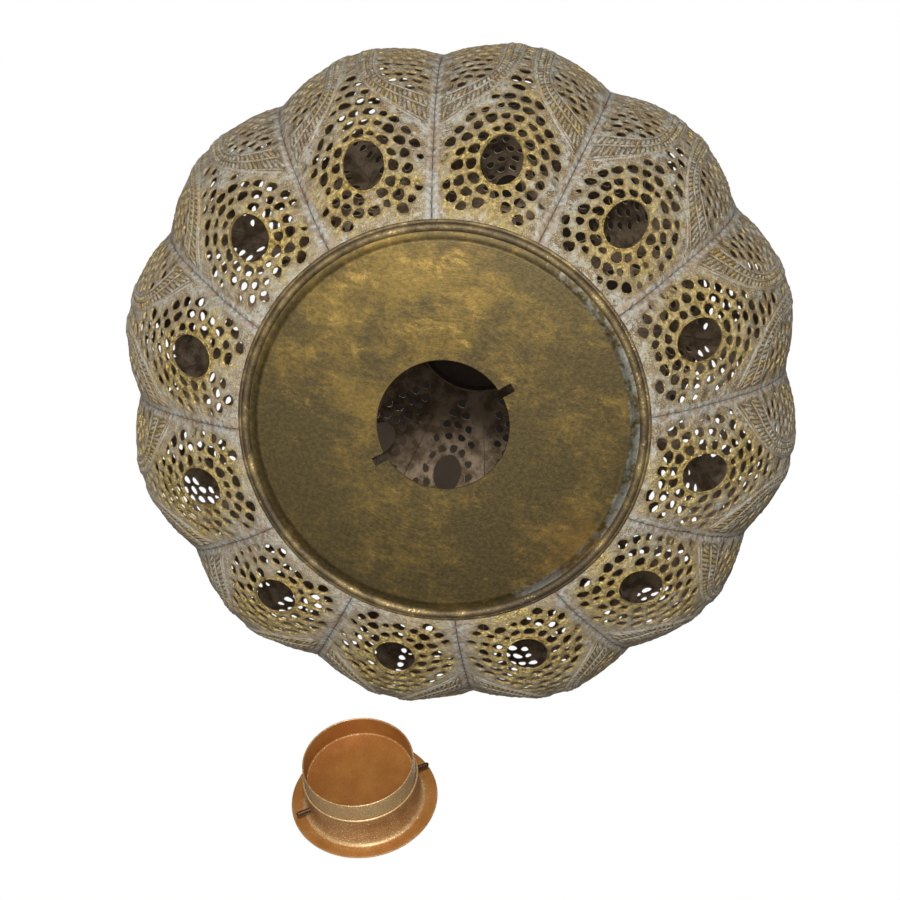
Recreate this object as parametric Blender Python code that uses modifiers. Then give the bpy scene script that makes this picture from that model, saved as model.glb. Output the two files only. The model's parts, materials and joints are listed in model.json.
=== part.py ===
"""Melon-shaped hanging lantern of pierced sheet brass, with a tray that locks into its base plate by a twist.

Metres, +Z up, as it hangs. The origin is where a hook bears: the underside of the hanging loop's top bar.
The base plate faces down. The tray is shown taken off: it waits beside the plate on the -Y side, cup outward,
and swings back about an axis near X that passes beside the plate, until it stands in the plate's hole.
"""

import math

import bmesh
import bpy
from mathutils import Matrix, Quaternion, Vector

# Body: twelve lobed panels whose crests follow an ellipse about the Z axis.
LOBE_COUNT = 12
LOBE_STEP = math.tau / LOBE_COUNT
FIRST_CREST = math.radians(30.0)
CREST_RADIUS = 0.200
HALF_HEIGHT = 0.1285
BOTTOM_RADIUS = 0.1165
TOP_RADIUS = 0.040
LOW_ANGLE = -math.acos(BOTTOM_RADIUS / CREST_RADIUS)
HIGH_ANGLE = math.acos(TOP_RADIUS / CREST_RADIUS)
PANEL_TOP = HALF_HEIGHT * math.sin(HIGH_ANGLE)
PANEL_BOTTOM = HALF_HEIGHT * math.sin(LOW_ANGLE)
LOBE_DEPTH = 0.048
EDGE_DEPTH_SHARE = 0.15
DEPTH_FADE = 0.14
SHEET = 0.0008
GAP = 0.0003

# The large oval hole in each half of a lobe: the crest radius at its middle, and half sizes along and across.
LOWER_EYE_RADIUS = 0.150
LOWER_EYE_HALF_SIZE = (0.0160, 0.0120)
UPPER_EYE_RADIUS = 0.094
UPPER_EYE_HALF_SIZE = (0.0120, 0.0090)
EYE_CUT_DEPTH = 0.012

# Crown, in heights above the equator: a tube in the panels' top opening, a cap over it, and the loop's bolt.
COLLAR_RADIUS = 0.0394
COLLAR_WALL = 0.0012
COLLAR_LOW = PANEL_TOP - 0.006
COLLAR_HIGH = PANEL_TOP + 0.004
CAP_TOP = PANEL_TOP + 0.020
CAP_SHEET = 0.0013
SHANK_RADIUS = 0.003
BOLT_HOLE = SHANK_RADIUS + GAP
WASHER_RADIUS = 0.009
WASHER_THICKNESS = 0.0015
NUT_RADIUS = 0.0058
NUT_HEIGHT = 0.005
NUT_TOP = CAP_TOP - 0.002
SHANK_LOW = NUT_TOP - NUT_HEIGHT - 0.006
LOOP_WIRE = 0.0025
LOOP_INNER = 0.009
LOOP_RADIUS = LOOP_INNER + LOOP_WIRE
LOOP_ABOVE_CAP = 0.004
EQUATOR_Z = -(CAP_TOP + LOOP_ABOVE_CAP + LOOP_INNER + LOOP_RADIUS + LOOP_WIRE)

# Base plate: a flat sheet with a raised step at its edge, inside a rolled rim.
RIM_RADIUS = 0.1122
RIM_WIRE = 0.0025
RIM_LIFT = 0.0034
PLATE_Z = EQUATOR_Z + PANEL_BOTTOM - RIM_LIFT
PLATE_SHEET = 0.0012
PLATE_FLAT_RADIUS = 0.1048
PLATE_RADIUS = 0.1093
PLATE_STEP = 0.0030
HOLE_RADIUS = 0.0372
NOTCH_ANGLE = math.radians(138.0)
NOTCH_DEPTH = 0.0080
NOTCH_WIDTH = 0.0052

# Tray: a flanged neck with two pins, and a pan that stands loose in its lip. Heights are above its flange.
FLANGE_RADIUS = 0.0406
LIP_RADIUS = 0.0326
NECK_RADIUS = 0.0312
LIP_HEIGHT = 0.0220
SHELF_HEIGHT = 0.0196
SHELF_RADIUS = 0.0250
TRAY_WALL = 0.0011
PAN_RADIUS = 0.0307
PAN_WALL = 0.0010
PAN_RIM_HEIGHT = 0.0336
PIN_HEIGHT = 0.0090
PIN_RADIUS = 0.0015
PIN_INNER = 0.0292
PIN_OUTER = 0.0394
PIN_ABOVE_PLATE = 0.0004

# Carrying the tray: it turns by this much about the swing axis to reach the plate's hole.
CARRY_ANGLE = math.radians(121.9)
SWING_DIRECTION = Vector((1.0, -0.0615, 0.1112)).normalized()
SWING_Y = -0.1187
SWING_LIFT = 0.0150

# How far the tray has been twisted past the notches where it waits.
PIN_REST_TURN = math.radians(75.5)

ROUND_STEPS = 48
TRAY_STEPS = 36
SMALL_STEPS = 20

for old in list(bpy.data.objects):
    bpy.data.objects.remove(old)

lantern = bpy.data.collections.new("hanging_lantern")
cutters = bpy.data.collections.new("cutters")
cutters.hide_render = True
bpy.context.scene.collection.children.link(lantern)
bpy.context.scene.collection.children.link(cutters)


def make_material(name, colour, roughness, metallic):
    material = bpy.data.materials.new(name)
    material.use_nodes = True
    shader = material.node_tree.nodes["Principled BSDF"]
    shader.inputs["Base Color"].default_value = (*colour, 1.0)
    shader.inputs["Roughness"].default_value = roughness
    shader.inputs["Metallic"].default_value = metallic
    return material


PIERCED_BRASS = make_material("pierced_brass", (0.42, 0.34, 0.22), 0.55, 0.7)
PLATE_BRASS = make_material("plate_brass", (0.30, 0.23, 0.11), 0.45, 0.85)
RIM_BRASS = make_material("rim_brass", (0.34, 0.26, 0.12), 0.42, 0.85)
FITTING_BRASS = make_material("fitting_brass", (0.45, 0.34, 0.16), 0.40, 0.9)
TRAY_PAINT = make_material("tray_paint", (0.55, 0.33, 0.15), 0.38, 0.5)
PIN_STEEL = make_material("pin_steel", (0.18, 0.13, 0.09), 0.50, 0.9)


def add_object(name, data, material, parent=None, collection=lantern):
    thing = bpy.data.objects.new(name, data)
    collection.objects.link(thing)
    if material is not None:
        data.materials.append(material)
    thing.parent = parent
    return thing


def smooth(mesh):
    mesh.shade_smooth()
    mesh.set_sharp_from_angle(angle=math.radians(35.0))


def add_cutter(name, bm, parent=None):
    mesh = bpy.data.meshes.new(name)
    bm.to_mesh(mesh)
    bm.free()
    cutter = add_object(name, mesh, None, parent, cutters)
    cutter.hide_render = True
    cutter.display_type = "WIRE"
    return cutter


def boolean(thing, other, operation):
    cut = thing.modifiers.new(operation.lower() + "_" + other.name, "BOOLEAN")
    cut.operation = operation
    cut.object = other
    cut.solver = "EXACT"


def turned(name, profile, steps, material, parent=None):
    """A profile of (radius, height) points turned about Z. It closes on itself unless it ends on the axis."""
    mesh = bpy.data.meshes.new(name)
    bm = bmesh.new()
    points = [bm.verts.new((radius, 0.0, height)) for radius, height in profile]
    for first, second in zip(points, points[1:]):
        bm.edges.new((first, second))
    on_axis = profile[0][0] == 0.0
    if not on_axis:
        bm.edges.new((points[-1], points[0]))
    bm.to_mesh(mesh)
    bm.free()
    thing = add_object(name, mesh, material, parent)
    screw = thing.modifiers.new("turn", "SCREW")
    screw.steps = steps
    screw.render_steps = steps
    screw.use_merge_vertices = True
    screw.merge_threshold = 0.00001
    screw.use_smooth_shade = True
    return thing


def cylinder(radius, low, high, segments):
    """A closed cylinder along Z, as a bmesh."""
    bm = bmesh.new()
    middle = Matrix.Translation((0.0, 0.0, (low + high) / 2))
    bmesh.ops.create_cone(
        bm, cap_ends=True, segments=segments, radius1=radius, radius2=radius, depth=high - low, matrix=middle
    )
    return bm


def baked(thing, name):
    """The mesh that an object's modifiers give, and the object gone."""
    graph = bpy.context.evaluated_depsgraph_get()
    mesh = bpy.data.meshes.new_from_object(thing.evaluated_get(graph), depsgraph=graph)
    mesh.name = name
    bpy.data.objects.remove(thing)
    return mesh


# Lobed panels


def depth_share(along):
    """How deep the valleys are at a share of the way up a panel, fading towards its two ends."""
    near = min(along, 1.0 - along) / DEPTH_FADE
    ease = min(max(near, 0.0), 1.0)
    return EDGE_DEPTH_SHARE + (1.0 - EDGE_DEPTH_SHARE) * ease * ease * (3.0 - 2.0 * ease)


def outward(angle):
    """The ellipse's outward normal at an angle up from the equator, as (radial, vertical)."""
    normal = Vector((math.cos(angle) / CREST_RADIUS, math.sin(angle) / HALF_HEIGHT))
    return normal.normalized()


def panel_point(across, along):
    """A point of the outer surface: across runs from -1 to 1 between seams, along from 0 at the plate to 1."""
    angle = LOW_ANGLE + (HIGH_ANGLE - LOW_ANGLE) * along
    crest = CREST_RADIUS * math.cos(angle)
    sink = LOBE_DEPTH * crest * depth_share(along) * across * across
    normal = outward(angle)
    radius = crest - sink * normal.x
    height = HALF_HEIGHT * math.sin(angle) - sink * normal.y
    seam_gap = across * GAP / 2 / radius
    turn = across * LOBE_STEP / 2 - seam_gap
    return Vector((radius * math.cos(turn), radius * math.sin(turn), height))


def eye_cutter(name, middle_radius, half_size, side):
    """An oval prism through the sheet, square to it: side is -1 for the lower half and 1 for the upper."""
    angle = side * math.acos(middle_radius / CREST_RADIUS)
    normal = outward(angle)
    bm = cylinder(1.0, -EYE_CUT_DEPTH, EYE_CUT_DEPTH, SMALL_STEPS)
    bmesh.ops.scale(bm, vec=(*half_size, 1.0), verts=bm.verts)
    tilt = Matrix.Rotation(math.pi / 2 - math.atan2(normal.y, normal.x), 4, "Y")
    place = Matrix.Translation((middle_radius, 0.0, HALF_HEIGHT * math.sin(angle)))
    bmesh.ops.transform(bm, matrix=place @ tilt, verts=bm.verts)
    return add_cutter(name, bm)


PANEL_COLUMNS = 6
PANEL_ROWS = 12


def panel_mesh():
    bm = bmesh.new()
    rows = []
    for row in range(PANEL_ROWS + 1):
        along = row / PANEL_ROWS
        across = [2 * column / PANEL_COLUMNS - 1 for column in range(PANEL_COLUMNS + 1)]
        rows.append([bm.verts.new(panel_point(share, along)) for share in across])
    for low, high in zip(rows, rows[1:]):
        for column in range(PANEL_COLUMNS):
            bm.faces.new((low[column], low[column + 1], high[column + 1], high[column]))
    bmesh.ops.triangulate(bm, faces=bm.faces)
    mesh = bpy.data.meshes.new("panel_sheet")
    bm.to_mesh(mesh)
    bm.free()
    sheet = add_object("panel_sheet", mesh, PIERCED_BRASS)
    thicken = sheet.modifiers.new("sheet", "SOLIDIFY")
    thicken.thickness = SHEET
    thicken.offset = -1.0
    thicken.use_even_offset = True
    boolean(sheet, eye_cutter("lower_eye", LOWER_EYE_RADIUS, LOWER_EYE_HALF_SIZE, -1), "DIFFERENCE")
    boolean(sheet, eye_cutter("upper_eye", UPPER_EYE_RADIUS, UPPER_EYE_HALF_SIZE, 1), "DIFFERENCE")
    mesh = baked(sheet, "panel")
    smooth(mesh)
    return mesh


panel = panel_mesh()
for number in range(LOBE_COUNT):
    gore = add_object(f"gore_{number + 1:02d}", panel, None)
    gore.location.z = EQUATOR_Z
    gore.rotation_euler.z = FIRST_CREST + LOBE_STEP * number


# Base plate and its rim


def base_plate():
    low = PLATE_Z
    step = PLATE_Z + PLATE_STEP
    profile = [
        (PLATE_RADIUS, step + PLATE_SHEET),
        (PLATE_RADIUS, step),
        (PLATE_RADIUS - 0.0012, step - 0.0002),
        (PLATE_FLAT_RADIUS, low),
        (HOLE_RADIUS, low),
        (HOLE_RADIUS, low + PLATE_SHEET),
        (PLATE_FLAT_RADIUS - 0.0006, low + PLATE_SHEET),
        (PLATE_RADIUS - 0.0018, step + PLATE_SHEET),
    ]
    plate = turned("base_plate", profile, ROUND_STEPS, PLATE_BRASS)
    for number in range(2):
        bm = bmesh.new()
        bmesh.ops.create_cube(bm, size=1.0)
        inner = HOLE_RADIUS - NOTCH_DEPTH
        outer = HOLE_RADIUS + NOTCH_DEPTH
        bmesh.ops.scale(bm, vec=(outer - inner, NOTCH_WIDTH, 10 * PLATE_SHEET), verts=bm.verts)
        bmesh.ops.translate(bm, vec=(HOLE_RADIUS, 0.0, low), verts=bm.verts)
        notch = add_cutter(f"notch_{number + 1}", bm)
        notch.rotation_euler.z = NOTCH_ANGLE + math.pi * number
        boolean(plate, notch, "DIFFERENCE")


def base_rim():
    sides = 8
    middle = PLATE_Z + RIM_LIFT
    turn = [math.pi / 2 - math.tau * (side + 0.5) / sides for side in range(sides)]
    profile = [(RIM_RADIUS + RIM_WIRE * math.cos(a), middle + RIM_WIRE * math.sin(a)) for a in turn]
    turned("base_rim", profile, ROUND_STEPS, RIM_BRASS)


base_plate()
base_rim()


# Crown


def top_collar():
    low = EQUATOR_Z + COLLAR_LOW
    high = EQUATOR_Z + COLLAR_HIGH
    inner = COLLAR_RADIUS - COLLAR_WALL
    profile = [(COLLAR_RADIUS, high), (COLLAR_RADIUS, low), (inner, low), (inner, high)]
    turned("top_collar", profile, TRAY_STEPS, FITTING_BRASS)


def crown_cap():
    top = EQUATOR_Z + CAP_TOP
    skirt = COLLAR_RADIUS + GAP + 0.0001
    outer = skirt + CAP_SHEET
    brim = outer + 0.0072
    profile = [
        (BOLT_HOLE, top),
        (0.014, top - 0.0012),
        (0.026, top - 0.0050),
        (0.035, top - 0.0102),
        (outer, top - 0.0150),
        (outer + 0.0002, top - 0.0176),
        (brim - 0.0004, top - 0.0184),
        (brim, top - 0.0190),
        (brim - 0.0006, top - 0.0194),
        (skirt + 0.0004, top - 0.0187),
        (skirt, top - 0.0156),
        (0.0342, top - 0.0112),
        (0.0254, top - 0.0062),
        (0.0138, top - 0.0025),
        (BOLT_HOLE, top - CAP_SHEET),
    ]
    turned("crown_cap", profile, TRAY_STEPS, FITTING_BRASS)


def loop_washer():
    low = EQUATOR_Z + CAP_TOP + GAP
    high = low + WASHER_THICKNESS
    profile = [
        (WASHER_RADIUS - 0.0004, high),
        (WASHER_RADIUS, high - 0.0004),
        (WASHER_RADIUS, low),
        (BOLT_HOLE, low),
        (BOLT_HOLE, high),
    ]
    turned("loop_washer", profile, SMALL_STEPS, FITTING_BRASS)


def loop_nut():
    high = EQUATOR_Z + NUT_TOP
    low = high - NUT_HEIGHT
    mesh = bpy.data.meshes.new("loop_nut")
    bm = cylinder(NUT_RADIUS, low, high, 6)
    bm.to_mesh(mesh)
    bm.free()
    nut = add_object("loop_nut", mesh, FITTING_BRASS)
    bore = cylinder(BOLT_HOLE, low - 0.002, high + 0.002, SMALL_STEPS)
    boolean(nut, add_cutter("nut_bore", bore), "DIFFERENCE")


def hanging_loop():
    middle = -LOOP_INNER
    bar_middle = middle - LOOP_RADIUS
    sides = 8
    mesh = bpy.data.meshes.new("hanging_loop")
    bm = bmesh.new()
    turn = [math.pi / 2 - math.tau * (side + 0.5) / sides for side in range(sides)]
    points = [bm.verts.new((LOOP_RADIUS + LOOP_WIRE * math.cos(a), 0.0, LOOP_WIRE * math.sin(a))) for a in turn]
    for number, point in enumerate(points):
        bm.edges.new((point, points[(number + 1) % sides]))
    bm.to_mesh(mesh)
    bm.free()
    ring = add_object("loop_ring", mesh, None)
    screw = ring.modifiers.new("turn", "SCREW")
    screw.steps = TRAY_STEPS // 2
    screw.render_steps = TRAY_STEPS // 2
    screw.use_merge_vertices = True
    screw.merge_threshold = 0.00001
    upright = baked(ring, "hanging_loop")
    upright.transform(Matrix.Translation((0.0, 0.0, middle)) @ Matrix.Rotation(math.pi / 2, 4, "X"))
    loop = add_object("hanging_loop", upright, FITTING_BRASS)
    shank = add_cutter("loop_shank", cylinder(SHANK_RADIUS, EQUATOR_Z + SHANK_LOW, bar_middle, SMALL_STEPS))
    boolean(loop, shank, "UNION")


top_collar()
crown_cap()
loop_washer()
loop_nut()
hanging_loop()


# Tray


def add_empty(name, location, parent=None):
    empty = bpy.data.objects.new(name, None)
    empty.empty_display_size = 0.02
    lantern.objects.link(empty)
    empty.location = location
    empty.parent = parent
    return empty


FLANGE_Z = PLATE_Z + PLATE_SHEET + PIN_ABOVE_PLATE + PIN_RADIUS - PIN_HEIGHT

swing = add_empty("tray_swing_axis", (0.0, SWING_Y, PLATE_Z + SWING_LIFT))
swing.rotation_mode = "QUATERNION"
swing.rotation_quaternion = Quaternion(SWING_DIRECTION, -CARRY_ANGLE)
tray_axis = add_empty("tray_turn_axis", (0.0, -SWING_Y, FLANGE_Z - PLATE_Z - SWING_LIFT), swing)
tray_axis.rotation_euler.z = NOTCH_ANGLE + PIN_REST_TURN


def pin_matrix(side):
    """Lays a cylinder that stands on Z along the tray's X axis at the pins' height, or along -X for side -1."""
    return Matrix.Translation((0.0, 0.0, PIN_HEIGHT)) @ Matrix.Rotation(side * math.pi / 2, 4, "Y")


def tray_ring():
    inner = NECK_RADIUS - TRAY_WALL
    lip_inner = LIP_RADIUS - 0.0015
    profile = [
        (LIP_RADIUS - 0.0005, LIP_HEIGHT),
        (LIP_RADIUS, LIP_HEIGHT - 0.0005),
        (LIP_RADIUS, LIP_HEIGHT - 0.0016),
        (NECK_RADIUS + 0.0008, LIP_HEIGHT - 0.0035),
        (NECK_RADIUS + 0.0002, 0.0140),
        (NECK_RADIUS, 0.0095),
        (NECK_RADIUS + 0.0002, 0.0050),
        (NECK_RADIUS + 0.0009, 0.0026),
        (NECK_RADIUS + 0.0022, 0.0014),
        (FLANGE_RADIUS - 0.0006, 0.0012),
        (FLANGE_RADIUS, 0.0007),
        (FLANGE_RADIUS - 0.0004, 0.0),
        (inner + 0.0010, 0.0),
        (inner + 0.0002, 0.0022),
        (inner, 0.0095),
        (inner + 0.0002, 0.0140),
        (inner + 0.0007, SHELF_HEIGHT - 0.0010),
        (SHELF_RADIUS, SHELF_HEIGHT - 0.0010),
        (SHELF_RADIUS, SHELF_HEIGHT),
        (lip_inner - 0.0003, SHELF_HEIGHT),
        (lip_inner, SHELF_HEIGHT + 0.0008),
        (lip_inner, LIP_HEIGHT),
    ]
    ring = turned("tray_ring", profile, TRAY_STEPS, TRAY_PAINT, tray_axis)
    bm = cylinder(PIN_RADIUS + GAP, -2 * FLANGE_RADIUS, 2 * FLANGE_RADIUS, 12)
    bmesh.ops.transform(bm, matrix=pin_matrix(1), verts=bm.verts)
    boolean(ring, add_cutter("pin_holes", bm, tray_axis), "DIFFERENCE")


def tray_pan():
    low = SHELF_HEIGHT + GAP
    floor = low + PAN_WALL
    inner = PAN_RADIUS - PAN_WALL
    profile = [
        (0.0, floor),
        (inner - 0.0006, floor),
        (inner, floor + 0.0006),
        (inner, PAN_RIM_HEIGHT - 0.0004),
        (inner + 0.0005, PAN_RIM_HEIGHT),
        (PAN_RADIUS + 0.0001, PAN_RIM_HEIGHT - 0.0003),
        (PAN_RADIUS, PAN_RIM_HEIGHT - 0.0012),
        (PAN_RADIUS, low + 0.0008),
        (PAN_RADIUS - 0.0008, low),
        (0.0, low),
    ]
    turned("tray_pan", profile, TRAY_STEPS, TRAY_PAINT, tray_axis)


def tray_pin(name, side):
    bm = cylinder(PIN_RADIUS, PIN_INNER, PIN_OUTER, 12)
    bmesh.ops.transform(bm, matrix=pin_matrix(side), verts=bm.verts)
    mesh = bpy.data.meshes.new(name)
    bm.to_mesh(mesh)
    bm.free()
    smooth(mesh)
    pin = add_object(name, mesh, PIN_STEEL, tray_axis)
    rounded = pin.modifiers.new("rounded", "BEVEL")
    rounded.width = 0.0003
    rounded.segments = 1
    rounded.limit_method = "ANGLE"


tray_ring()
tray_pan()
tray_pin("tray_pin_a", 1)
tray_pin("tray_pin_b", -1)
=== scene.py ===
"""Looks of the melon-shaped hanging lantern of pierced sheet brass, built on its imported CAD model.

Metres, +Z up, in the frame of the CAD. Each lobed panel is a pierced, chased sheet with soldered seams.
It is laid out flat first, in (u, v): u runs across the lobe from its crest, and v up it from the equator.
"""

import json
import math
import random

import bmesh
import bpy
import numpy as np
from mathutils import Matrix, Vector, kdtree, noise
from mathutils.geometry import delaunay_2d_cdt

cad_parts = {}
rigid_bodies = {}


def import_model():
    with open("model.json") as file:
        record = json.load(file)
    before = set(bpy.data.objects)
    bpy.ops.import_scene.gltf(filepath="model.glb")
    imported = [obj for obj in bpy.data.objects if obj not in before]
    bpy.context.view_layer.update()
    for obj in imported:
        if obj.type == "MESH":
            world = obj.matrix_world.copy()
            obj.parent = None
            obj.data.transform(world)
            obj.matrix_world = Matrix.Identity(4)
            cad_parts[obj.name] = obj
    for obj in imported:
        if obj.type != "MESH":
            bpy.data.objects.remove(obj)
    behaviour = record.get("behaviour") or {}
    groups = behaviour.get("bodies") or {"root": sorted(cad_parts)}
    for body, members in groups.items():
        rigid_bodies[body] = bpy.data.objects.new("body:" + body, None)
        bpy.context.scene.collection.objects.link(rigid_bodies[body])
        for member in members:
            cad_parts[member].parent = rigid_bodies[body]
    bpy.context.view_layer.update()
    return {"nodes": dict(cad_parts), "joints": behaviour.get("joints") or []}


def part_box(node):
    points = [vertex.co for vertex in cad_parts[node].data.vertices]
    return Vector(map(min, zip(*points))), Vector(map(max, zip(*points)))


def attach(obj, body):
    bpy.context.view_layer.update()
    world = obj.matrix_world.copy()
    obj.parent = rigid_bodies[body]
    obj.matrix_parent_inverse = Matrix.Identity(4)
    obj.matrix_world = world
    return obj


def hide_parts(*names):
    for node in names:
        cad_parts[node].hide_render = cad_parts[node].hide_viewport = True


for old in list(bpy.data.objects):
    bpy.data.objects.remove(old)

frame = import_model()
JOINTS = {joint["name"]: joint for joint in frame["joints"]}

# Body: twelve lobed panels whose crests follow an ellipse about the Z axis
LOBE_COUNT = 12
LOBE_STEP = math.tau / LOBE_COUNT
FIRST_CREST = math.radians(30.0)
CREST_RADIUS = 0.200
HALF_HEIGHT = 0.1285
BOTTOM_RADIUS = 0.1165
TOP_RADIUS = 0.040
LOW_ANGLE = -math.acos(BOTTOM_RADIUS / CREST_RADIUS)
HIGH_ANGLE = math.acos(TOP_RADIUS / CREST_RADIUS)
PANEL_BOTTOM = HALF_HEIGHT * math.sin(LOW_ANGLE)
LOBE_DEPTH = 0.048
EDGE_DEPTH_SHARE = 0.15
DEPTH_FADE = 0.14
SHEET = 0.0008
SEAM_GAP = 0.00002
EQUATOR_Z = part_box("gore_01")[0].z - PANEL_BOTTOM

# Base plate, rim and tray sizes
PLATE_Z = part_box("base_plate")[0].z
PLATE_SHEET = 0.0012
PLATE_FLAT_RADIUS = 0.1048
PLATE_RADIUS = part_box("base_plate")[1].x
PLATE_STEP = 0.0030
PLATE_TUCK = 0.0010
RIM_RADIUS = 0.1122
RIM_WIRE = 0.0025
RIM_LIFT = 0.0034
HOLE_RADIUS = 0.0372
NOTCH_ANGLE = math.radians(138.0)
NOTCH_DEPTH = 0.0080
NOTCH_WIDTH = 0.0052

# Crown, in heights above the equator
PANEL_TOP = HALF_HEIGHT * math.sin(HIGH_ANGLE)
COLLAR_RADIUS = 0.0394
COLLAR_WALL = 0.0012
CAP_TOP = PANEL_TOP + 0.020
CAP_SHEET = 0.0013
BOLT_HOLE = 0.0033
WASHER_RADIUS = 0.009
WASHER_THICKNESS = 0.0015
LOOP_WIRE = 0.0025
LOOP_RADIUS = 0.0115
LOOP_MIDDLE = -0.009
SHANK_RADIUS = 0.003
SHANK_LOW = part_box("hanging_loop")[0].z
THREAD_PITCH = 0.0008

# Tray, in heights above its flange
FLANGE_Z = PLATE_Z - 0.0059
FLANGE_RADIUS = 0.0406
LIP_RADIUS = 0.0319
NECK_RADIUS = 0.0312
LIP_HEIGHT = 0.0220
SHELF_HEIGHT = 0.0196
SHELF_RADIUS = 0.0250
TRAY_WALL = 0.0011
PAN_RADIUS = 0.0307
PAN_WALL = 0.0010
PAN_LOW = 0.0199
PAN_RIM_HEIGHT = 0.0336
PIN_HEIGHT = 0.0090
PIN_RADIUS = 0.0013
PIN_INNER = 0.0292
PIN_OUTER = 0.0394

ROUND_STEPS = 192
TRAY_STEPS = 128


def unit(values):
    """Values kept between 0 and 1."""
    return np.clip(values, 0.0, 1.0)


def full_turn(count):
    """The angles of equal steps round a full turn."""
    return np.arange(count) * math.tau / count


def at_turn(radius, turn, height):
    """Points at a radius, an angle about Z and a height."""
    return np.stack([radius * np.cos(turn), radius * np.sin(turn), height], axis=-1)


# Materials


class Finish:
    """A procedural metal or paint, built up from a few short calls."""

    def __init__(self, name, **fixed):
        self.material = bpy.data.materials.new(name)
        self.material.use_nodes = True
        self.tree = self.material.node_tree
        self.shader = self.tree.nodes["Principled BSDF"]
        self.place = self.node("ShaderNodeTexCoord").outputs["Object"]
        for socket, value in fixed.items():
            self.shader.inputs[socket.replace("_", " ")].default_value = value

    def node(self, kind, **settings):
        made = self.tree.nodes.new(kind)
        for key, value in settings.items():
            setattr(made, key, value)
        return made

    def put(self, socket, value):
        if isinstance(value, bpy.types.NodeSocket):
            self.tree.links.new(value, socket)
        elif isinstance(value, tuple) and len(value) == 3 and socket.type == "RGBA":
            socket.default_value = (*value, 1.0)
        else:
            socket.default_value = value

    def noise(self, scale, detail=3.0, roughness=0.55, distortion=0.0, place=None):
        given = {"Scale": scale, "Detail": detail, "Roughness": roughness, "Distortion": distortion}
        given["Vector"] = place or self.place
        return self.fill(self.node("ShaderNodeTexNoise"), given, "Fac")

    def math(self, operation, first, second=0.0, clamp=False):
        made = self.node("ShaderNodeMath", operation=operation, use_clamp=clamp)
        return self.fill(made, {0: first, 1: second})

    def total(self, *terms):
        """The sum of values, each times its weight."""
        found = 0.0
        for value, weight in terms:
            found = self.math("ADD", found, self.both(value, weight))
        return found

    def both(self, share, other):
        return self.math("MULTIPLY", share, other)

    def without(self, share, other):
        """What a share keeps where another covers it."""
        return self.both(share, self.math("SUBTRACT", 1.0, other, clamp=True))

    def spread(self, value, low, high, start=0.0, end=1.0):
        """The value's run from low to high, smoothly made to run from start to end."""
        made = self.node("ShaderNodeMapRange", interpolation_type="SMOOTHSTEP")
        return self.fill(made, dict(enumerate((value, low, high, start, end))))

    def fill(self, made, given, output=0):
        """Gives a node's inputs their values and returns an output."""
        for socket, value in given.items():
            self.put(made.inputs[socket], value)
        return made.outputs[output]

    def blend(self, factor, first, second):
        made = self.node("ShaderNodeMix", data_type="RGBA")
        return self.fill(made, {0: factor, 6: first, 7: second}, 2)

    def layers(self, colour, *layers):
        """A colour with others laid over it, each by its share."""
        for share, tone in layers:
            colour = self.blend(share, colour, tone)
        return colour

    def mix(self, factor, first, second):
        made = self.node("ShaderNodeMix", data_type="FLOAT")
        return self.fill(made, {0: factor, 2: first, 3: second})

    def painted(self, name):
        return self.node("ShaderNodeAttribute", attribute_name=name).outputs["Fac"]

    def stretched(self, scale, place=None):
        made = self.node("ShaderNodeVectorMath", operation="MULTIPLY")
        return self.fill(made, {0: place or self.place, 1: scale})

    def axes(self):
        parts = self.node("ShaderNodeSeparateXYZ")
        self.put(parts.inputs[0], self.place)
        return parts.outputs

    def polar(self):
        """The radius, and (radius, angle as a length at 50 mm, height) about the Z axis."""
        x, y, z = self.axes()
        radius = self.math("SQRT", self.total((x, x), (y, y)))
        around = self.both(self.math("ARCTAN2", y, x), 0.05)
        return radius, self.fill(self.node("ShaderNodeCombineXYZ"), {0: radius, 1: around, 2: z})

    def finish(self, colour, roughness, metallic, height, distance):
        bumps = self.fill(self.node("ShaderNodeBump"), {"Distance": distance, "Height": height}, "Normal")
        looks = {"Base Color": colour, "Roughness": roughness, "Metallic": metallic, "Normal": bumps}
        self.fill(self.shader, looks)
        return self.material


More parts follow.
